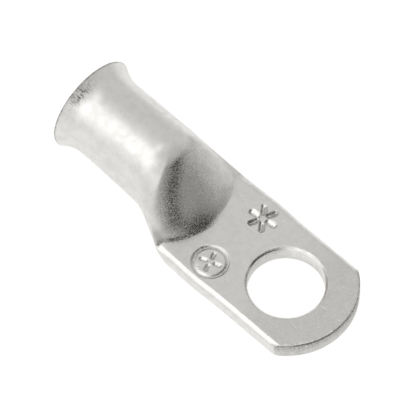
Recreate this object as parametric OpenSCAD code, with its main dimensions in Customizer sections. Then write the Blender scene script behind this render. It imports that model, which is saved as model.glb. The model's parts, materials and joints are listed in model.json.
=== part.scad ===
// Tubular cable lug with a bell mouth, made from one length of copper tube.
// The mouth is flared. The other end is pressed flat by a round-nosed punch, so that both
// walls meet in the palm, which is sheared to an arc and punched for a stud.
// Millimetres. The stud hole's axis is Z, the palm's underside is z = 0, and the cable
// enters the barrel against +X.

/* [Tube] */
// Outside radius of the barrel
barrel_r = 7.3; // [6.8:0.05:7.8]
// Thickness of the tube's wall, half that of the palm
wall = 1.6; // [1.3:0.05:1.9]
// Height of the barrel's axis above the palm's underside
axis_z = 8.2; // [7.8:0.1:8.8]
// From the stud hole's axis to the outer edge of the mouth
mouth_x = 45.4; // [44:0.1:60]

/* [Bell mouth] */
// Outside radius of the bell at its rim
bell_r = 8.8; // [8.2:0.05:9.2]
// Radius of the curve that flares the tube
flare_r = 7.3; // [5:0.1:12]
// How far the rim's inner edge stands ahead of its outer edge
lip_lead = 0.35; // [0.1:0.05:0.8]
// Width of the small bevel around the rim's outer edge
lip_bevel = 0.15; // [0.05:0.05:0.3]

/* [Cable bore] */
// Depth of the round bore, from the outer edge of the mouth
bore_depth = 16.4; // [12:0.1:17]

/* [Palm] */
// Width of the palm
palm_w = 20.7; // [18:0.1:23]
// Radius along the palm's folded edges
edge_r = 1.2; // [0.6:0.1:1.3]
// Radius of the sheared end, about the stud hole's axis
end_r = 12.15; // [11.6:0.05:14]
// Swelling of each long edge beside the place of the stamps
swell = 0.2; // [0:0.05:0.5]
// From the stud hole's axis to the middle of that swelling
swell_x = 11.9; // [9:0.1:13]
// Reach of the swelling to each side of its middle
swell_l = 3.6; // [2:0.1:6]

/* [Stud hole] */
// Radius of the stud hole
stud_r = 6.5; // [4.2:0.1:7]
// Width of the edge that the punch draws down on the upper face
roll_w = 0.2; // [0.05:0.05:0.4]
// Depth of that drawn edge
roll_h = 0.4; // [0.1:0.05:0.6]

/* [Shoulder] */
// From the stud hole's axis to the foot of the shoulder, on the middle line
foot_x = 16.6; // [14:0.1:20]
// Radius of the punch's nose, which the foot follows across the palm
nose_r = 12.2; // [11.5:0.1:20]
// Length of the shoulder along the crest, from the foot to the knee
crest_l = 11.8; // [9:0.1:13]
// Length of the shoulder along the flanks and the underside
flank_l = 12.2; // [9:0.1:13]
// Part of the crest's slope that goes into the rounded knee
knee_share = 0.35; // [0.1:0.05:0.6]
// Part of the flank's slope that eases into the palm
ease_share = 0.3; // [0.1:0.05:0.5]
// Part of the pressing that the lower flanks show before the shoulder starts
toe_share = 0.1; // [0:0.01:0.15]
// Length along which that early pressing grows
toe_l = 9; // [4:0.5:9]

/* [Hidden] */
$fn = 96;
palm_t = 2 * wall;
bore_r = barrel_r - wall;
half_w = palm_w / 2;
// Tiny step between the turned surfaces and the pressed ones that carry on from them
join_step = 0.02;
// The slit that is left where the two walls meet
slit = 0.3;
over = 1;
flat_len = half_w - edge_r;
corner_len = 90 * edge_r * PI / 180;
side_len = palm_t - 2 * edge_r;
half_len = 2 * flat_len + 2 * corner_len + side_len;
flare_start = mouth_x - sqrt(pow(flare_r, 2) - pow(flare_r - (bell_r - barrel_r), 2));
toe_x = foot_x + flank_l + toe_l;
bore_end = mouth_x - bore_depth;

// Points along half of a section, as lengths from the crest around to the underside
top_steps = 16;
corner_steps = 4;
bottom_steps = 10;
stations = concat(
    [for (i = [0:top_steps - 1]) flat_len * i / top_steps],
    [for (i = [0:corner_steps]) flat_len + corner_len * i / corner_steps],
    [for (i = [0:corner_steps]) flat_len + corner_len + side_len + corner_len * i / corner_steps],
    [for (i = [1:bottom_steps]) half_len - flat_len + flat_len * i / bottom_steps]
);
shares = [for (s = stations) s / half_len];
toe_rings = 3;
slope_rings = 22;
palm_rings = 12;
cavity_rings = 12;
cavity_steps = 20;
// From the shoulder's foot to where the slit closes
cavity_gap = wall;
// Part of the crest's slope that eases into the crease at its foot
crease_share = 0.05;
// Share of the way around at which the early pressing begins
toe_from = 0.2;
flare_steps = 8;

function mix(a, b, k) = a + (b - a) * k;
function clamp(v) = min(1, max(0, v));
function smooth(v) = pow(clamp(v), 2) * (3 - 2 * clamp(v));

// Runs from 0 to 1 with a rounded start and a rounded end, straight between them
function slope(v, start, end) =
    let (pace = 1 / (1 - start / 2 - end / 2))
    v < start ? pace * v * v / (2 * start)
    : v < 1 - end ? pace * (v - start / 2)
    : 1 - pace * pow(1 - v, 2) / (2 * end);

// Half sections of tube and palm at a share of the way around, 0 at the crest, 1 beneath
function round_at(k, r) = [r * sin(180 * k), axis_z + r * cos(180 * k)];
function edge_at(x) = half_w + swell * exp(-pow((x - swell_x) / swell_l, 2));
function flat_at(k, x) =
    let (s = k * half_len, w = edge_at(x), a = (s - flat_len) / edge_r, b = a - side_len / edge_r)
    s <= flat_len ? [s * (w - edge_r) / flat_len, palm_t]
    : s <= flat_len + corner_len
        ? [w - edge_r + edge_r * sin(a * 180 / PI), palm_t - edge_r + edge_r * cos(a * 180 / PI)]
    : s <= flat_len + corner_len + side_len ? [w, palm_t - edge_r - (s - flat_len - corner_len)]
    : s <= half_len - flat_len
        ? [w - edge_r + edge_r * sin(b * 180 / PI), edge_r + edge_r * cos(b * 180 / PI)]
    : [(half_len - s) * (w - edge_r) / flat_len, 0];

// Where each line along the tube reaches the palm and where it leaves the barrel
function nose_x(y) = foot_x + nose_r - sqrt(pow(nose_r, 2) - y * y);
function low(k) = smooth((k * half_len - flat_len) / (half_len - 2 * flat_len));
function foot_at(k) = mix(nose_x(min(k * half_len, flat_len)), foot_x, low(k));
function knee_at(k) = foot_x + mix(crest_l, flank_l, smooth(2 * k));

function press_at(k, v) = slope(v, knee_share, mix(crease_share, ease_share, low(k)));

// One point of the pressed part, at share k around and ring i along
function toe_at(k, x) = toe_share * smooth(2 * (k - toe_from)) * clamp((toe_x - x) / toe_l);
function point_at(k, i) =
    let (
        along = i - toe_rings,
        v = along / slope_rings,
        w = (along - slope_rings) / palm_rings,
        x = along <= 0 ? mix(toe_x, knee_at(k), i / toe_rings)
            : v <= 1 ? mix(knee_at(k), foot_at(k), v)
            : mix(foot_at(k), -end_r - over, w),
        share = 1 - (1 - press_at(k, clamp(v))) * (1 - toe_at(k, x)),
        yz = mix(round_at(k, barrel_r - join_step), flat_at(k, x), share)
    )
    [x, yz[0], yz[1]];

// The space inside the pressed part, one wall in from the outside, in planes across the tube
function slit_at(k) =
    [(half_w - wall) * (1 - abs(1 - 2 * k)), wall + slit * (0.5 - k) / max(0.5, abs(1 - 2 * k))];
function cavity_at(k, x) =
    let (
        lag = wall / 2 * (1 - low(k)),
        v = clamp((knee_at(k) + lag - x) / (knee_at(k) - foot_at(k))),
        yz = mix(round_at(k, bore_r - join_step), slit_at(k), press_at(k, v))
    )
    [x, yz[0], yz[1]];

// A closed skin over rings that share a plane of symmetry, y = 0. Each ring is given as the
// half on the +Y side, from the crest around to the underside.
module skin(halves) {
    n = len(halves[0]);
    count = 2 * n - 2;
    last = len(halves) - 1;
    points = [for (h = halves) each concat(h, [for (j = [n - 2:-1:1]) [h[j][0], -h[j][1], h[j][2]]])];
    sides = [for (i = [0:last - 1], j = [0:count - 1])
        let (a = i * count, b = a + count, m = (j + 1) % count)
        [a + j, b + j, b + m, a + m]];
    first_end = [for (j = [0:n / 2 - 1], m = [0, 1])
        let (a = j, b = j + 1, c = n - 2 - j, d = n - 1 - j)
        m == 0 ? [a, b, c, d] : [for (p = [d, c, b, a]) (count - p) % count]];
    last_end = [for (f = first_end) [for (j = [3:-1:0]) last * count + f[j]]];
    polyhedron(points, concat(sides, first_end, last_end));
}

module pressed_part() {
    skin([for (i = [0:toe_rings + slope_rings + palm_rings]) [for (k = shares) point_at(k, i)]]);
}

module cavity() {
    skin([for (i = [0:cavity_rings])
        let (x = mix(bore_end, foot_x + cavity_gap, i / cavity_rings))
        [for (j = [0:cavity_steps]) cavity_at(j / cavity_steps, x)]]);
}

// Revolves a half profile of [radius, x] about the barrel's axis
module turned(profile) {
    translate([0, 0, axis_z])
        rotate([0, 90, 0])
            rotate_extrude()
                polygon(profile);
}

function last_of(list) = list[len(list) - 1];

// The flare's curve at radius r about the same centre, from the barrel to where it reaches x_end
function flare_curve(r, x_end) =
    let (sweep = asin((x_end - flare_start) / r))
    [for (i = [0:flare_steps])
        let (a = sweep * i / flare_steps)
        [barrel_r + flare_r - r * cos(a), flare_start + r * sin(a)]];

module barrel() {
    turned([
        [0, toe_x],
        [barrel_r, toe_x],
        each flare_curve(flare_r, mouth_x - lip_bevel),
        [bell_r - lip_bevel, mouth_x],
        last_of(flare_curve(flare_r + wall, mouth_x + lip_lead)),
        [0, mouth_x + lip_lead]
    ]);
}

module cable_bore() {
    turned([
        [0, bore_end],
        [bore_r, bore_end],
        each flare_curve(flare_r + wall, mouth_x + 2 * lip_lead),
        [0, mouth_x + 2 * lip_lead]
    ]);
}

module stud_hole() {
    translate([0, 0, -over])
        cylinder(r = stud_r, h = palm_t + 2 * over);
    translate([0, 0, palm_t - roll_h])
        cylinder(r1 = stud_r, r2 = stud_r + roll_w * (roll_h + over) / roll_h, h = roll_h + over);
}

// What the shear takes off beyond the rounded end
module end_offcut() {
    difference() {
        translate([-2 * end_r, -palm_w, -over])
            cube([2 * end_r, 2 * palm_w, palm_t + 2 * over]);
        translate([0, 0, -2 * over])
            cylinder(r = end_r, h = palm_t + 4 * over);
    }
}

module cable_lug() {
    color("silver")
        difference() {
            union() {
                barrel();
                pressed_part();
            }
            cable_bore();
            cavity();
            stud_hole();
            end_offcut();
        }
}

cable_lug();
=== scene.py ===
import json
import math

import bpy
import numpy as np
from mathutils import Matrix, Vector


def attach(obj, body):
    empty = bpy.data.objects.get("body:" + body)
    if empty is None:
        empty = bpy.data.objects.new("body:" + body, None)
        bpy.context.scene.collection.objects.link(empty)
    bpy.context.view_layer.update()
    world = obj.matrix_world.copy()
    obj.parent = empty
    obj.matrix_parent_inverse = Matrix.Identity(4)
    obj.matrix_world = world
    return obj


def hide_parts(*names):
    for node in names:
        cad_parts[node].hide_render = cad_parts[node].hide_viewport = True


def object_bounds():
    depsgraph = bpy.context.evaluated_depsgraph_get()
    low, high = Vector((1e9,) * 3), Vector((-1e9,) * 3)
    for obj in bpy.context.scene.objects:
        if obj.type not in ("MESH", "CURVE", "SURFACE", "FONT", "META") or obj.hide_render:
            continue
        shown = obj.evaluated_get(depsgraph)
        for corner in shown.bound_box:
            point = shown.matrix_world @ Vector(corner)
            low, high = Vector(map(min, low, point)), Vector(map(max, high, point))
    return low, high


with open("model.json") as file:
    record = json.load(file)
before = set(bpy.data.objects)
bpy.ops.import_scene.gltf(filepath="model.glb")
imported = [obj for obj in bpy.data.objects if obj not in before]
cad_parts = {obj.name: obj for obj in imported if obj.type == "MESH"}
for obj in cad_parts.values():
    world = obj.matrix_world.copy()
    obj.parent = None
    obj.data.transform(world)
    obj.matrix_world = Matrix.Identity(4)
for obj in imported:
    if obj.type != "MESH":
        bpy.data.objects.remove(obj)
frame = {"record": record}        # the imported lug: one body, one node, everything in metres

mm = 0.001
cadBox = [list(corner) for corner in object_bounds()]
mounts = {m["name"]: m for m in frame["record"]["mounts"]}
scene = bpy.context.scene
white = "#ffffff"
print("frame loaded")


def srgb(code):
    # "#rrggbb" as picked on a screen, to the linear values that Blender wants
    parts = [int(code[i:i + 2], 16) / 255 for i in (1, 3, 5)]
    return [c / 12.92 if c <= 0.04045 else ((c + 0.055) / 1.055) ** 2.4 for c in parts] + [1.0]


def addNode(tree, kind, settings=None, links=None):
    # a setting is a property of the node or the value of a socket, a link is a socket to feed it from
    node = tree.nodes.new(kind)
    for key, value in (settings or {}).items():
        if isinstance(key, str) and hasattr(node, key):
            setattr(node, key, value)
        else:
            node.inputs[key].default_value = value
    for key, source in (links or {}).items():
        tree.links.new(source, node.inputs[key])
    return node


def calc(tree, operation, *values):
    # arithmetic on numbers and sockets
    numbers = {i: v for i, v in enumerate(values) if isinstance(v, (int, float))}
    sockets = {i: v for i, v in enumerate(values) if i not in numbers}
    return addNode(tree, "ShaderNodeMath", {"operation": operation, **numbers}, sockets).outputs[0]


def newMaterial(name):
    material = bpy.data.materials.new(name)
    material.use_nodes = True
    material.node_tree.nodes.clear()
    return material, material.node_tree


def newObject(name, data):
    thing = bpy.data.objects.new(name, data)
    scene.collection.objects.link(thing)
    return thing


def sheet(name, width, height, z=0):
    # a flat rectangle about the origin, in metres
    w, h = width / 2, height / 2
    mesh = bpy.data.meshes.new(name)
    mesh.from_pydata([(-w, -h, z), (w, -h, z), (w, h, z), (-w, h, z)], [], [(0, 1, 2, 3)])
    return newObject(name, mesh)


def direction(azimuth, elevation):
    # azimuth counts from +X towards +Y
    a, e = math.radians(azimuth), math.radians(elevation)
    return Vector((math.cos(a) * math.cos(e), math.sin(a) * math.cos(e), math.sin(e)))


def aim(thing, azimuth, elevation, distance):
    # puts a lamp or card out in that direction, facing the lug
    away = direction(azimuth, elevation)
    thing.location = away * distance * mm
    thing.rotation_euler = away.to_track_quat("Z", "Y").to_euler()


# camera: a long lens from far away, looking down on the palm's end

cameraSetup = {                      # degrees and mm
    "azimuth": 134.384,
    "elevation": 58.508,
    "distance": 800,
    "lens": 420.8,
    "sensor": 36,
    "target": (17.6, 0.53, 7.31),
    "clip": (50, 20000),             # nearest and farthest that it sees
}


def makeCamera():
    s = cameraSetup
    back = direction(s["azimuth"], s["elevation"])
    right = Vector((0, 0, 1)).cross(back).normalized()
    up = back.cross(right)
    camera = newObject("camera", bpy.data.cameras.new("camera"))
    camera.data.sensor_width = s["sensor"]
    camera.data.lens = s["lens"]
    camera.data.clip_start, camera.data.clip_end = (d * mm for d in s["clip"])
    place = Matrix((right, up, back)).transposed().to_4x4()
    place.translation = Vector(s["target"]) * mm + back * s["distance"] * mm
    camera.matrix_world = place
    scene.camera = camera


makeCamera()
print("camera set")


# the lug's own shape: a tube flared at its mouth, pressed flat by a round-nosed punch, sheared
# and punched, with the softness that the tools and the tinning leave on every edge

lugShape = {                   # mm, degrees, shares and counts
    "flareR": 7.3,             # curve of the bell
    "bellR": 8.8,
    "lipLead": 0.35,
    "lipRound": 0.3,           # wear on the rim's two edges
    "lipOuter": 1.4,           # the outer edge has that many times more
    "halfWidth": 10.35,
    "edgeR": 1.2,              # folded long edges
    "swell": 0.19, "swellX": 11.9, "swellReach": 3.6,
    # foot of the shoulder, an arc across the palm, and the soft hollow along its two ends
    "footX": 16.6, "noseR": 12.2, "footLead": 1.2,
    "easeFrom": 2.5, "easeTo": 10.6, "easeFade": (4, 1.5), "easeReach": (0.6, 1.9), "easeTurns": 55,
    # shoulder, along its crest and its flanks
    "crestRun": 11.8, "flankRun": 12.2,
    "kneeShare": 0.35, "easeShare": 0.3, "creaseShare": 0.05,
    "toeShare": 0.1, "toeRun": 9, "toeFrom": 0.2,
    # low ridge between the punched front and each flank, and which way it stands out
    "ridgeY": 7.9, "ridgeRise": 12.3, "ridgeCurve": 2.3, "ridgeHeight": 0.22, "ridgeReach": 1.0,
    "ridgeFade": 5, "ridgeLean": (-0.6, 0.55, 0.58),
    "slit": 0.3,                            # left inside where the two walls meet
    "rollWidth": 0.4, "rollDepth": 0.38,    # edge of the stud hole drawn down by the punch
    "shearWidth": 0.2, "shearDepth": 0.26,  # the same along the sheared end
    "shearFrom": 118.4, "shearTo": 241.6,
    "edgeRounding": 0.15,                   # 0 for a plain bevel, 1 for a round
    "burrWidth": 0.07,
    "sharpFrom": 32,                        # angle from which an edge is drawn sharp
    # points around half of a section, and rings along the tube
    "topCount": 64, "cornerCount": 9, "sideCount": 3, "bottomCount": 30,
    "palmRings": 46, "stampRings": 84, "stampZone": 0.33,
    "shoulderRings": 60, "shoulderPace": 1.3,
    "barrelRings": 40, "flareRings": 26, "boreRings": 10, "cavityRings": 34,
    "holeSteps": 180, "shearSteps": 90, "edgeSteps": 8, "lipSteps": 6,
}
palmT = mounts["palm_top"]["pos_m"][2] / mm
studR = mounts["stud_hole"]["dims"]["r_mm"]
boreR = mounts["cable_bore"]["dims"]["r_mm"]
axisZ = mounts["cable_bore"]["pos_m"][2] / mm
wall = palmT / 2
barrelR = boreR + wall
endR = -cadBox[0][0] / mm
lipX = cadBox[1][0] / mm
mouthX = lipX - lugShape["lipLead"]
flatLen = lugShape["halfWidth"] - lugShape["edgeR"]
cornerLen = math.pi / 2 * lugShape["edgeR"]
sideLen = palmT - 2 * lugShape["edgeR"]
halfLen = 2 * flatLen + 2 * cornerLen + sideLen
flareRise = lugShape["flareR"] - lugShape["bellR"] + barrelR
flareStart = mouthX - math.sqrt(lugShape["flareR"] ** 2 - flareRise ** 2)
boreEnd = flareStart - mounts["cable_bore"]["dims"]["length_mm"]
over = 1                       # mm that a cutter reaches past what it cuts


def stations():
    # lengths around half of a section, from the crest to the underside, as shares
    s = lugShape
    marks = [0, flatLen, flatLen + cornerLen, flatLen + cornerLen + sideLen, halfLen - flatLen, halfLen]
    counts = [s["topCount"], s["cornerCount"], s["sideCount"], s["cornerCount"], s["bottomCount"]]
    parts = [np.linspace(a, b, n, endpoint=False) for a, b, n in zip(marks, marks[1:], counts)]
    return np.concatenate(parts + [[halfLen]]) / halfLen


def mix(a, b, k):
    return a + (b - a) * k


def smooth(v):
    v = np.clip(v, 0, 1)
    return v * v * (3 - 2 * v)


def fade(value, start, width):
    # 0 up to start, 1 from start + width on
    return smooth((value - start) / width)


def hump(value, middle, reach):
    return np.exp(-((value - middle) / reach) ** 2)


def slope(v, start, end):
    # from 0 to 1 with a rounded start and a rounded end, straight between them
    pace = 1 / (1 - start / 2 - end / 2)
    early = pace * v * v / (2 * start)
    late = 1 - pace * (1 - v) ** 2 / (2 * end)
    return np.where(v < start, early, np.where(v < 1 - end, pace * (v - start / 2), late))


def roundAt(k, r):
    # the tube's half section, at a share k of the way around
    return np.stack([r * np.sin(np.pi * k), axisZ + r * np.cos(np.pi * k)], -1)


def flatAt(k, x):
    # the palm's half section at the same share, so that each point has its place in both
    s = lugShape
    r = s["edgeR"]
    w = s["halfWidth"] + s["swell"] * hump(x, s["swellX"], s["swellReach"])
    d = k * halfLen
    a = (d - flatLen) / r
    b = a - sideLen / r
    where = [d <= flatLen, d <= flatLen + cornerLen, d <= flatLen + cornerLen + sideLen,
             d <= halfLen - flatLen]
    y = np.select(where, [d * (w - r) / flatLen, w - r + r * np.sin(a), w, w - r + r * np.sin(b)],
                  (halfLen - d) * (w - r) / flatLen)
    z = np.select(where, [palmT, palmT - r + r * np.cos(a), palmT - r - (d - flatLen - cornerLen),
                          r + r * np.cos(b)], 0)
    return np.stack([y, z], -1)


def low(k):
    # 0 on the upper side, 1 beneath; it starts a little before the folded edge
    lead = lugShape["footLead"]
    return smooth((k * halfLen - flatLen + lead) / (halfLen - 2 * flatLen + lead))


def noseX(y):
    s = lugShape
    return s["footX"] + s["noseR"] - np.sqrt(s["noseR"] ** 2 - y * y)


def footAt(k):
    return mix(noseX(np.minimum(k * halfLen, flatLen)), lugShape["footX"], low(k))


def kneeAt(k):
    return lugShape["footX"] + mix(lugShape["crestRun"], lugShape["flankRun"], smooth(2 * k))


def pressAt(k, v):
    # how far the tube is pressed flat, v of the way from the knee to the foot
    return slope(v, lugShape["kneeShare"], mix(lugShape["creaseShare"], lugShape["easeShare"], low(k)))


def ridgeY(z):
    # the ridge between the punched front and each flank, by height
    s = lugShape
    rise = np.clip((z - palmT) / s["ridgeRise"], 0, 1)
    return s["ridgeY"] * (1 - rise ** s["ridgeCurve"])


def outerRing(k, x, v):
    # v is 0 on the barrel and 1 on the palm
    s = lugShape
    toeX = s["footX"] + s["flankRun"] + s["toeRun"]
    toe = s["toeShare"] * smooth(2 * (k - s["toeFrom"])) * np.clip((toeX - x) / s["toeRun"], 0, 1)
    share = 1 - (1 - pressAt(k, np.clip(v, 0, 1))) * (1 - toe)
    y, z = mix(roundAt(k, barrelR), flatAt(k, x), share[:, None]).T
    ridge = s["ridgeHeight"] * np.exp(-abs(y - ridgeY(z)) / s["ridgeReach"])
    ridge *= smooth(s["ridgeFade"] * share * (1 - share)) * (z > palmT)
    leanX, leanY, leanZ = s["ridgeLean"]
    return np.column_stack([x + leanX * ridge, y + leanY * ridge, z + leanZ * ridge, share])


def cavityRing(k, x):
    # inside the shoulder the round bore closes to a slit, one wall in from the outside
    s = lugShape
    lag = wall / 2 * (1 - low(k))
    v = np.clip((kneeAt(k) + lag - x) / (kneeAt(k) - footAt(k)), 0, 1)
    turn = 1 - np.abs(1 - 2 * k)
    y = (s["halfWidth"] - wall) * turn
    z = wall + s["slit"] * (0.5 - k) / np.maximum(0.5, np.abs(1 - 2 * k))
    yz = mix(roundAt(k, boreR), np.stack([y, z], -1), pressAt(k, v)[:, None])
    return np.column_stack([np.full_like(k, x), yz, np.zeros_like(k)])


def turnedRing(k, x, r):
    return np.column_stack([np.full_like(k, x), roundAt(k, r), np.zeros_like(k)])


def rounded(points, corner, r):
    # replaces one corner of a profile by a curve that starts r before it and ends r after it
    p, q, n = (np.array(points[corner + i]) for i in (-1, 0, 1))
    a = q + (p - q) * min(1, r / np.linalg.norm(p - q))
    b = q + (n - q) * min(1, r / np.linalg.norm(n - q))
    t = np.linspace(0, 1, lugShape["lipSteps"])[:, None]
    curve = (1 - t) ** 2 * a + 2 * t * (1 - t) * q + t ** 2 * b
    return points[:corner] + [list(c) for c in curve] + points[corner + 1:]


def flare(r, xEnd):
    # the bell's curve at radius r about its centre, from the barrel to where it reaches xEnd
    s = lugShape
    sweep = np.linspace(0, math.asin((xEnd - flareStart) / r), s["flareRings"])
    return [[flareStart + r * math.sin(a), barrelR + s["flareR"] - r * math.cos(a)] for a in sweep]


def mouthProfile():
    # [x, radius] out along the bell, over its lip and back in down the bore
    s = lugShape
    outside = flare(s["flareR"], mouthX - s["lipRound"]) + [[mouthX, s["bellR"]]]
    inside = flare(s["flareR"] + wall, lipX)[::-1]
    profile = rounded(outside + inside, len(outside), s["lipRound"])
    return rounded(profile, len(outside) - 1, s["lipRound"] * s["lipOuter"])


# two plain marks struck into the palm: a ring around four ticks, and a fainter ring around
# six rays; every cut has one wide wall and one steep wall, as a chisel leaves it

lugStamps = {                  # mm and degrees
    "near": {
        "at": (11.7, 5.9),
        "ring": 2.85, "ringWidth": 0.8, "ringDepth": 0.3,
        "rays": 4, "turn": 20, "reach": (0.8, 1.7), "width": 0.8, "depth": 0.34,
        "lean": 0.35, "endSteepness": 1.3,
    },
    "far": {
        "at": (11.3, -6.2),
        "ring": 3.05, "ringWidth": 0.4, "ringDepth": 0.03,
        "rays": 6, "turn": 8, "reach": (1.0, 2.35), "width": 1.1, "depth": 0.46,
        "lean": 0.4, "endSteepness": 1.3,
    },
}
leanSide = 0.5                 # radians; turns half of the rays round, so that all lean to one side


def groove(distance, width, depth):
    # by the distance from its middle line
    return depth * np.clip(1 - 2 * distance / width, 0, 1)


def cut(past, across, stamp):
    # one chisel's cut: past its ends and across it, with the deepest line beside the middle
    half = stamp["width"] / 2
    offset = stamp["lean"] * half
    steep = (across - offset) / (1 - stamp["lean"])
    wide = (offset - across) / (1 + stamp["lean"])
    side = np.where(across > offset, steep, wide)
    return stamp["depth"] * np.clip(1 - np.hypot(past * stamp["endSteepness"], side) / half, 0, 1)


def stampDepth(x, y):
    depth = np.zeros_like(x)
    for stamp in lugStamps.values():
        u, v = x - stamp["at"][0], y - stamp["at"][1]
        r = np.hypot(u, v)
        depth = np.maximum(depth, groove(abs(r - stamp["ring"]), stamp["ringWidth"], stamp["ringDepth"]))
        start, end = stamp["reach"]
        for i in range(stamp["rays"]):
            a = math.radians(stamp["turn"] + 360 * i / stamp["rays"])
            along = u * math.cos(a) + v * math.sin(a)
            across = v * math.cos(a) - u * math.sin(a)
            across *= 1 if math.cos(a + leanSide) > 0 else -1
            depth = np.maximum(depth, cut(along - np.clip(along, start, end), across, stamp))
    return depth


def eased(half, k, outer):
    # softens the hollow along the shoulder's foot, more and more towards the folded edges
    s = lugShape
    length = k * halfLen
    fadeIn, fadeOut = s["easeFade"]
    weight = fade(length, s["easeFrom"], fadeIn) * fade(-length, -s["easeTo"], fadeOut)
    weight = weight * hump(half[..., 0] - footAt(k), *s["easeReach"])
    weight[outer:] = 0
    weight = weight[1:-1, 1:-1, None]
    place = half[..., :3]
    for turn in range(s["easeTurns"]):
        around = (place[:-2, 1:-1] + place[2:, 1:-1] + place[1:-1, :-2] + place[1:-1, 2:]) / 4
        place[1:-1, 1:-1] += weight * (around - place[1:-1, 1:-1])
    return half


def lugSkin():
    # rings of points from the palm's end to the mouth and back down the bore, with the finest
    # ones where the marks are struck
    s = lugShape
    k = stations()
    foot, knee = footAt(k), kneeAt(k)
    zone = s["stampZone"]
    palm = [np.linspace(1, zone, s["palmRings"], endpoint=False),
            np.linspace(zone, 0, s["stampRings"], endpoint=False)]
    rings = []
    for w in np.concatenate(palm):
        rings.append(outerRing(k, mix(foot, -endR - over, w), np.ones_like(k)))
    for w in 1 - np.linspace(0, 1, s["shoulderRings"], endpoint=False) ** s["shoulderPace"]:
        rings.append(outerRing(k, mix(knee, foot, w), np.full_like(k, w)))
    for w in np.linspace(0, 1, s["barrelRings"], endpoint=False):
        rings.append(outerRing(k, mix(knee, flareStart, w), np.zeros_like(k)))
    outer = len(rings)
    for x, r in mouthProfile():
        rings.append(turnedRing(k, x, r))
    for x in np.linspace(flareStart, boreEnd, s["boreRings"])[1:]:
        rings.append(turnedRing(k, x, boreR))
    for x in np.linspace(boreEnd, s["footX"] + wall, s["cavityRings"])[1:]:
        rings.append(cavityRing(k, x))
    half = eased(np.array(rings), k, outer)
    mirror = half[:, -2:0:-1] * [1, -1, 1, 1]
    skin = np.concatenate([half, mirror], 1)
    x, y, z, share = np.moveaxis(skin, -1, 0)
    z -= np.where((share == 1) & np.isclose(z, palmT, rtol=0, atol=1e-6), stampDepth(x, y), 0)
    return skin


def gridMesh(name, grid):
    # a closed tube of quads, with a flat fan of strips at both ends
    rings, count = grid.shape[:2]
    n = count // 2 + 1
    i, j = np.meshgrid(np.arange(rings - 1), np.arange(count), indexing="ij")
    m = (j + 1) % count
    a, b = i * count, (i + 1) * count
    faces = np.stack([a + j, b + j, b + m, a + m], -1).reshape(-1, 4).tolist()
    ends = []
    for j in range((n - 1) // 2):
        strip = [j, j + 1, n - 2 - j, n - 1 - j]
        ends += [strip, [(count - p) % count for p in strip[::-1]]]
    last = (rings - 1) * count
    for strip in ends:
        strip = list(dict.fromkeys(strip))
        if len(strip) > 2:
            faces += [strip, [last + p for p in strip[::-1]]]
    mesh = bpy.data.meshes.new(name)
    mesh.from_pydata((grid[..., :3].reshape(-1, 3) * mm).tolist(), [], faces)
    mesh.update()
    return mesh


def ringCutter(name, profile, start, end, steps):
    # a profile of [radius, z] swept about the stud hole's axis, closed where it goes all round
    full = end - start == 360
    turns = np.radians(np.linspace(start, end, steps + 1))
    turns = turns[:-1] if full else turns
    points = [[r * math.cos(a), r * math.sin(a), z] for a in turns for r, z in profile]
    n, count = len(profile), len(turns)
    faces = []
    for i in range(count if full else count - 1):
        for j in range(n):
            a, b = i * n, (i + 1) % count * n
            faces.append([a + j, b + j, b + (j + 1) % n, a + (j + 1) % n])
    if not full:
        faces += [list(range(n)), list(range((count - 1) * n, count * n))[::-1]]
    mesh = bpy.data.meshes.new(name)
    mesh.from_pydata((np.array(points) * mm).tolist(), [], faces)
    mesh.validate()
    mesh.update()
    return newObject(name, mesh)


def drawnEdge(r, width, depth, side):
    # a wall at radius r whose upper edge is pulled over, outwards where side is 1 and inwards
    # where it is -1, from the underside to above the palm
    s = lugShape
    edge = []
    for t in np.radians(np.linspace(0, 90, s["edgeSteps"])):
        curve = np.array([1 - math.cos(t), 1 - math.sin(t)])
        bevel = np.array([t, math.pi / 2 - t]) * 2 / math.pi
        u, v = mix(bevel, curve, s["edgeRounding"])
        edge.append([r + side * width * u, palmT - depth * v])
    burr = s["burrWidth"]
    foot = [[r + side * burr, -over], [r + side * burr, 0], [r, burr * 2]]
    return foot + edge + [[edge[-1][0], palmT + over]]


def makeLug():
    s = lugShape
    lug = newObject("tinned_lug", gridMesh("tinned_lug", lugSkin()))
    core, rest = 0.001, endR + 6           # mm: how far in and how far out the cutters reach
    hole = drawnEdge(studR, s["rollWidth"], s["rollDepth"], 1)
    hole = [[core, -over]] + hole + [[core, palmT + over]]
    end = drawnEdge(endR, s["shearWidth"], s["shearDepth"], -1)
    end = [[rest, palmT + over]] + end[::-1] + [[rest, -over]]
    cutters = [ringCutter("hole_cutter", hole, 0, 360, s["holeSteps"]),
               ringCutter("end_cutter", end, s["shearFrom"], s["shearTo"], s["shearSteps"])]
    for cutter in cutters:
        punch = lug.modifiers.new(cutter.name, "BOOLEAN")
        punch.operation, punch.object, punch.solver = "DIFFERENCE", cutter, "MANIFOLD"
    done = bpy.data.meshes.new_from_object(lug.evaluated_get(bpy.context.evaluated_depsgraph_get()))
    lug.modifiers.clear()
    lug.data = done
    for cutter in cutters:
        bpy.data.objects.remove(cutter)
    done.shade_smooth()
    done.set_sharp_from_angle(angle=math.radians(s["sharpFrom"]))
    return lug


lug = makeLug()
print("lug built:", len(lug.data.polygons), "faces")


# wear and painted shade, kept on the mesh: one mark darkens, for die rub and scuffs and as painted shade
# and painted dark reflection; grit roughens and speckles, shear draws streaks, scuff leaves dark spots,
# polish smooths drawn and folded edges, and level marks the wavy flat palm

# the darkening below is die rub and scuffs in part, and painted shade and painted dark reflection in part
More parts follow.
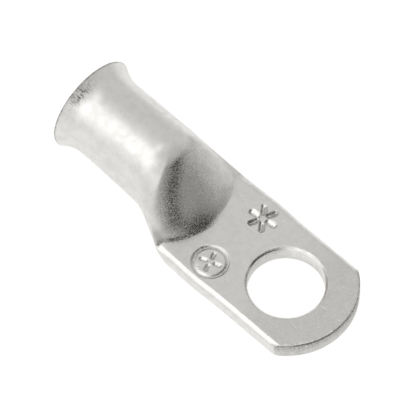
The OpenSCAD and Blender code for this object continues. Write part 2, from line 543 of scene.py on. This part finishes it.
lugWearAndShade = {                    # mm and degrees; a rub of 1 is fully dark
    # a pair is a middle and a reach, or a start and the width over which it grows
    "off": 0.02,               # skin that far above or below the palm's face isn't part of it
    "front": (0.2, 0.3),       # skin that leans that much towards -X was under the punch
    "frontEdge": (-0.5, 1.1),  # where the front ends, from the near ridge
    # the front's darkening and its humps by the ridge, the knee and the middle: die rub with painted dark
    # reflection over it
    "rubAndShade": 0.2, "rubY": (-10, 5), "top": 14.2,
    "midShade": 0.18, "midY": (-1.2, 3.2), "midZ": (9.5, 4.0),
    "ridgeShade": 0.54, "ridgeBack": 2.3, "ridgeReach": 1.5, "ridgeZ": (3.2, 2.5),
    "kneeShade": 0.05, "kneeZ": (12.6, 1.4), "kneeY": (0.2, 2.4),
    # painted shade along the shoulder's foot and in its crease
    "footShade": 0.82, "footReach": 1.8, "footSpill": 0.35, "footY": (2.3, 2.9), "footDown": 0.1,
    "creaseShade": 0.85, "creaseReach": 0.45, "creaseSpill": 0.6, "creaseY": (7.4, 3.2),
    # painted shade on the struck marks' walls that face the stud hole
    "struckShade": 0.7, "struckLean": (0.3, 0.25), "struckDown": 0.04, "struckPast": 0.5,
    "scuff": 0.25, "scuffAngle": (24, 17), "scuffX": (44.4, 0.9), "scuffLean": 0.3,
    "rim": 0.8, "rimWidth": 0.4, "rimR": (-0.6, 0.35),
    "drawnDown": 0.03, "drawnDepth": 0.5, "drawnLean": 0.97, "drawnWidth": 0.45,
    "wallLean": 0.6, "wallWidth": 0.1,
    # painted shade and painted dark reflection on the sheared end's wall, towards its far side and on its
    # drawn edge
    "endWidth": 0.3, "end": 0.1, "endSide": 0.2, "endSideY": (-2, 10), "endEdge": 0.45,
    "palmPast": 4, "levelLean": (0.9, 0.08), "foldedY": (-1.5, 0.6), "foldedPolish": 0.4,
    # the palm a little darker towards its end, and painted shade on the stud hole's drawn edge towards +X
    "palmEndTone": 0.11, "palmEndX": (-5, 9), "holeShade": 0.45, "holeX": (3, 3),
}


def vertexValues(mesh, name):
    values = np.empty(len(mesh.vertices) * 3)
    mesh.vertices.foreach_get(name, values)
    return values.reshape(-1, 3).T


def footMark(past, reach, spill):
    # painted shade, strongest along the shoulder's foot, fading up the shoulder and out over the palm
    return hump(past, 0, np.where(past > 0, reach, spill))


def markWearAndShade(mesh):
    w, s = lugWearAndShade, lugShape
    x, y, z = vertexValues(mesh, "co") / mm
    nx, _, nz = vertexValues(mesh, "normal")
    r = np.hypot(x, y)
    fromAxis = np.hypot(y, z - axisZ)
    past = x - footAt(np.clip(abs(y), 0, flatLen) / halfLen)
    onPalm = x < s["footX"] + w["palmPast"]

    # the punched front of the shoulder: die rub with painted dark reflection over it, darker beside its
    # near ridge, and painted shade along its foot and in its crease
    shoulder = (z > palmT + w["off"]) & (x < s["footX"] + s["flankRun"])
    front = fade(-nx, *w["front"]) * shoulder * (1 - fade(y - ridgeY(z), *w["frontEdge"]))
    # painted shade in the hollow along the foot and in the crease at its near end
    atFoot = (z > palmT - w["footDown"]) & (nz > 0)
    foot = footMark(past, w["footReach"], w["footSpill"]) * hump(y, *w["footY"]) * atFoot
    crease = footMark(past, w["creaseReach"], w["creaseSpill"]) * hump(y, *w["creaseY"]) * atFoot
    # painted dark reflection over the die rub on the front
    rubAndShade = w["rubAndShade"] * fade(y, *w["rubY"])
    rubAndShade += w["ridgeShade"] * hump(y, ridgeY(z) - w["ridgeBack"], w["ridgeReach"]) * fade(z, *w["ridgeZ"])
    rubAndShade += w["kneeShade"] * hump(z, *w["kneeZ"]) * hump(y, *w["kneeY"])
    rubAndShade += w["midShade"] * hump(y, *w["midY"]) * hump(z, *w["midZ"])
    rubAndShade *= smooth(w["top"] - z)
    rubAndShade = front * rubAndShade + w["footShade"] * foot + w["creaseShade"] * crease

    # painted shade on the walls of the struck marks that face the stud hole
    struck = (z > palmT - w["drawnDepth"]) & (z < palmT - w["struckDown"]) & (nz > 0)
    struck &= (x > studR + w["struckPast"]) & (past < 0)
    rubAndShade += w["struckShade"] * struck * fade(-nx, *w["struckLean"])

    # the bell: a scuff on top and a dark line round the rim
    scuff = hump(np.degrees(np.arctan2(y, z - axisZ)), *w["scuffAngle"])
    scuff *= hump(x, *w["scuffX"]) * (nx < w["scuffLean"])
    rim = fade(x - mouthX, -w["rimWidth"], w["rimWidth"]) * fade(fromAxis - s["bellR"], *w["rimR"])

    # the sheared end and the stud hole: their walls, and the edge drawn down above them; painted shade
    # and painted dark reflection on the end's wall, towards its far side and on its drawn edge, and
    # painted shade on the hole's drawn edge towards +X
    end = (r > endR - w["endWidth"]) & (x < 0) & (abs(y) < s["halfWidth"] - w["endWidth"])
    walls = (abs(nz) < w["wallLean"]) & (z < palmT - w["off"]) & ((r < studR + w["wallWidth"]) | end)
    drawn = (z > palmT - w["drawnDepth"]) & (z < palmT - w["drawnDown"]) & (nz < w["drawnLean"])
    rolled = drawn & ((r < studR + w["drawnWidth"]) | end)
    # painted shade and painted dark reflection on the end, and painted shade on the hole's drawn edge
    shadeAndTone = end * (w["end"] * walls + w["endSide"] * fade(-y, *w["endSideY"]) + w["endEdge"] * drawn)
    shadeAndTone += w["holeShade"] * rolled * ~end * fade(x, *w["holeX"])

    # the flat palm, a little darker towards its end, and its folded edges
    level = fade(abs(nz), *w["levelLean"]) * onPalm
    shadeAndTone += w["palmEndTone"] * level * fade(-x, *w["palmEndX"])
    folded = fade(abs(y) - s["halfWidth"], *w["foldedY"]) * onPalm

    marks = {
        # the darkening: die rub, scuffs and the rim line, with painted shade and painted dark reflection
        "soilAndShade": np.clip(rubAndShade + w["scuff"] * scuff + w["rim"] * rim + shadeAndTone, 0, 1),
        "grit": np.clip(front + foot + scuff, 0, 1),
        "shear": walls.astype(float),
        "scuff": scuff,
        "polish": np.clip(rolled + w["foldedPolish"] * folded, 0, 1),
        "level": level,
    }
    for name, values in marks.items():
        mesh.attributes.new(name, "FLOAT", "POINT").data.foreach_set("value", values)


markWearAndShade(lug.data)
print("wear marked")


# tinned copper: rolled copper tube, pressed and then hot tinned, which gives a pale satin
# metal with a soft grain, small dents from tumbling, and greyer skin where the dies rubbed;
# the same dark tone also paints shade and dark reflection on the shoulder's front and foot,
# the struck marks, the sheared end and the stud hole's edge

tinLook = {
    "tin": "#e6e4e1",
    "dullTin": "#dbd9d5",
    # dark tone of die rub and scuffs, also used for painted shade and painted dark reflection
    "darkRubAndShade": "#5a5955",
    "roughness": (0.34, 0.41),                  # of bright and of dull tin
    "gritRoughness": 0.1, "polish": 0.2,        # added where it is sandy, taken off worn edges
    # size in mm, detail and roughness of each noise; grain and grit are finer on a real lug
    # and are drawn as coarse as they need to be to show
    "cloud": (1.5, 4.0, 0.6),
    "grain": (0.36, 3.0, 0.6),
    "grit": (0.22, 2.0, 0.7),
    "spot": (0.35, 3.0, 0.6),
    "wave": (7.0, 1.5, 0.5),
    "dent": (1.4, 3.0, 0.5),
    "nick": (0.9, 1.0, 0.5),
    "streak": (0.3, 3.0, 0.6),
    # parts of each noise, from 0 to 1, between which it rises from none to full
    "cloudRamp": (0.35, 0.68), "grainRamp": (0.4, 0.62), "gritRamp": (0.35, 0.65),
    "spotRamp": (0.47, 0.58), "nickRamp": (0.66, 0.76),
    # shares of colour
    "cloudShare": 0.7, "grainShare": 0.3, "gritFloor": 0.5, "spotShare": 0.7,
    # heights in mm
    "waveHeight": 0.008, "palmWave": 0.14, "dentHeight": 0.007, "grainHeight": 0.003,
    "gritHeight": 0.06, "nickDepth": 0.03, "streakHeight": 0.03,
    # spots are drawn out along the tube, and streaks down the sheared walls
    "spotStretch": (0.3, 1, 1), "streakStretch": (1, 1, 0.08),
}


def tinnedCopper():
    s = tinLook
    material, tree = newMaterial("tinned_copper_pressed")
    place = addNode(tree, "ShaderNodeTexCoord").outputs["Object"]

    def noise(name, vector=place):
        size, detail, roughness = s[name]
        return addNode(tree, "ShaderNodeTexNoise", {
            "Scale": 1 / (size * mm), "Detail": detail, "Roughness": roughness}, {
            "Vector": vector}).outputs["Fac"]

    def mark(name):
        return addNode(tree, "ShaderNodeAttribute", {"attribute_name": name}).outputs["Fac"]

    def ramp(value, name):
        start, end = s[name]
        return addNode(tree, "ShaderNodeMapRange", {
            "interpolation_type": "SMOOTHSTEP", 1: start, 2: end}, {0: value}).outputs[0]

    def stretched(name):
        return addNode(tree, "ShaderNodeMapping", {"Scale": s[name]}, {"Vector": place}).outputs[0]

    def times(a, b):
        return calc(tree, "MULTIPLY", a, b)

    def plus(a, b):
        return calc(tree, "ADD", a, b)

    def add(value, share, base):
        return calc(tree, "MULTIPLY_ADD", value, share, base)

    def blend(share, a, b):
        # sockets 6 and 7 are the node's two colours
        colours = {6: a, 7: b}
        fixed = {i: c for i, c in colours.items() if isinstance(c, list)}
        linked = {i: c for i, c in colours.items() if i not in fixed}
        return addNode(tree, "ShaderNodeMix", {"data_type": "RGBA", **fixed}, {
            0: share, **linked}).outputs[2]

    # the first mark holds die rub and scuffs and also painted shade and painted dark reflection
    soilAndShade, grit, shear, level = mark("soilAndShade"), mark("grit"), mark("shear"), mark("level")
    cloud = ramp(noise("cloud"), "cloudRamp")
    grain = noise("grain")
    speck = noise("grit")

    # the eye sees a pale, faintly blotchy metal, never one flat tone
    dull = plus(times(cloud, s["cloudShare"]), times(ramp(grain, "grainRamp"), s["grainShare"]))
    tin = blend(dull, srgb(s["tin"]), srgb(s["dullTin"]))
    # where the dies rubbed, and where shade and dark reflection are painted, it is dark in grains, which
    # reads as sandy
    broken = times(soilAndShade, plus(ramp(speck, "gritRamp"), s["gritFloor"]))
    spots = times(ramp(noise("spot", stretched("spotStretch")), "spotRamp"), mark("scuff"))
    broken = plus(broken, times(spots, s["spotShare"]))
    colour = blend(calc(tree, "MINIMUM", broken, 1.0), tin, srgb(s["darkRubAndShade"]))

    smoothest, roughest = s["roughness"]
    roughness = add(cloud, roughest - smoothest, smoothest)
    roughness = add(grit, s["gritRoughness"], roughness)
    roughness = add(shear, s["gritRoughness"], roughness)
    roughness = add(mark("polish"), -s["polish"], roughness)

    # height in mm: slow waves, more on the palm, then dents, nicks, grain, grit and streaks
    height = times(noise("wave"), add(level, s["palmWave"], s["waveHeight"]))
    height = add(noise("dent"), s["dentHeight"], height)
    height = add(times(ramp(noise("nick"), "nickRamp"), level), -s["nickDepth"], height)
    height = add(grain, s["grainHeight"], height)
    height = add(times(speck, grit), s["gritHeight"], height)
    height = add(times(noise("streak", stretched("streakStretch")), shear), s["streakHeight"], height)
    bump = addNode(tree, "ShaderNodeBump", {"Distance": mm}, {"Height": height})

    shader = addNode(tree, "ShaderNodeBsdfPrincipled", {"Metallic": 1.0}, {
        "Base Color": colour, "Roughness": roughness, "Normal": bump.outputs[0]})
    addNode(tree, "ShaderNodeOutputMaterial", links={"Surface": shader.outputs["BSDF"]})
    return material


lug.data.materials.clear()
lug.data.materials.append(tinnedCopper())
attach(lug, "root")
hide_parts("cable_lug")
print("material made")


# studio: a pale table under a pale sky, large soft lamps, and one dark card for the metal to show

studio = {                   # degrees and mm; a radiance or glow of 1 is white
    "floor": "#f4f4f3",
    "floorSize": 6000,
    "glow": 1.12,            # of the floor as the camera and the metal see it
    "glowShare": 0.8,        # the rest is the floor's own paint, which carries the shadow
    "sky": 0.70,
    "lamps": {               # azimuth, elevation, distance, width, height, radiance
        "softbox": (70, 39, 620, 700, 760, 0.42),
        "core": (60, 51, 600, 480, 400, 0.45),
        "fill": (125, 34, 640, 480, 560, 0.42),
        "overhead": (20, 82, 700, 300, 300, 0.6),
    },
    "flags": {               # azimuth, elevation, distance, width, height, radiance
        "flag": (183, 12, 500, 780, 330, 0.12),
    },
}


def makeFloor():
    s = studio
    size = s["floorSize"] * mm
    floor = sheet("floor", size, size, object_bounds()[0].z)
    material, tree = newMaterial("white_table")
    path = addNode(tree, "ShaderNodeLightPath").outputs
    seen = calc(tree, "MAXIMUM", path["Is Camera Ray"], path["Is Glossy Ray"])
    seen = calc(tree, "MAXIMUM", seen, path["Is Transmission Ray"])
    share = calc(tree, "MULTIPLY", seen, s["glowShare"])
    paint = addNode(tree, "ShaderNodeBsdfDiffuse", {"Color": srgb(s["floor"])})
    glow = addNode(tree, "ShaderNodeEmission", {"Color": srgb(white), "Strength": s["glow"]})
    both = addNode(tree, "ShaderNodeMixShader", links={0: share, 1: paint.outputs[0], 2: glow.outputs[0]})
    addNode(tree, "ShaderNodeOutputMaterial", links={"Surface": both.outputs[0]})
    floor.data.materials.append(material)


def makeLight():
    world = bpy.data.worlds.new("studio")
    world.use_nodes = True
    tree = world.node_tree
    tree.nodes.clear()
    paint = addNode(tree, "ShaderNodeBackground", {"Color": srgb(white), "Strength": studio["sky"]})
    addNode(tree, "ShaderNodeOutputWorld", links={"Surface": paint.outputs[0]})
    scene.world = world
    for name, (azimuth, elevation, distance, width, height, radiance) in studio["lamps"].items():
        data = bpy.data.lights.new(name, "AREA")
        data.shape, data.size, data.size_y = "RECTANGLE", width * mm, height * mm
        data.energy = radiance * math.pi * width * height * mm * mm
        lamp = newObject(name, data)
        aim(lamp, azimuth, elevation, distance)
        lamp.visible_camera = False


def makeFlags():
    # dark cards that only the metal sees
    for name, (azimuth, elevation, distance, width, height, radiance) in studio["flags"].items():
        card = sheet(name, width * mm, height * mm)
        aim(card, azimuth, elevation, distance)
        material, tree = newMaterial(name + "_felt")
        felt = addNode(tree, "ShaderNodeEmission", {"Color": srgb(white), "Strength": radiance})
        addNode(tree, "ShaderNodeOutputMaterial", links={"Surface": felt.outputs[0]})
        card.data.materials.append(material)
        card.visible_camera = False
        card.visible_diffuse = False
        card.visible_shadow = False


makeFloor()
makeLight()
makeFlags()
scene.view_settings.view_transform = "Standard"
print("studio set")
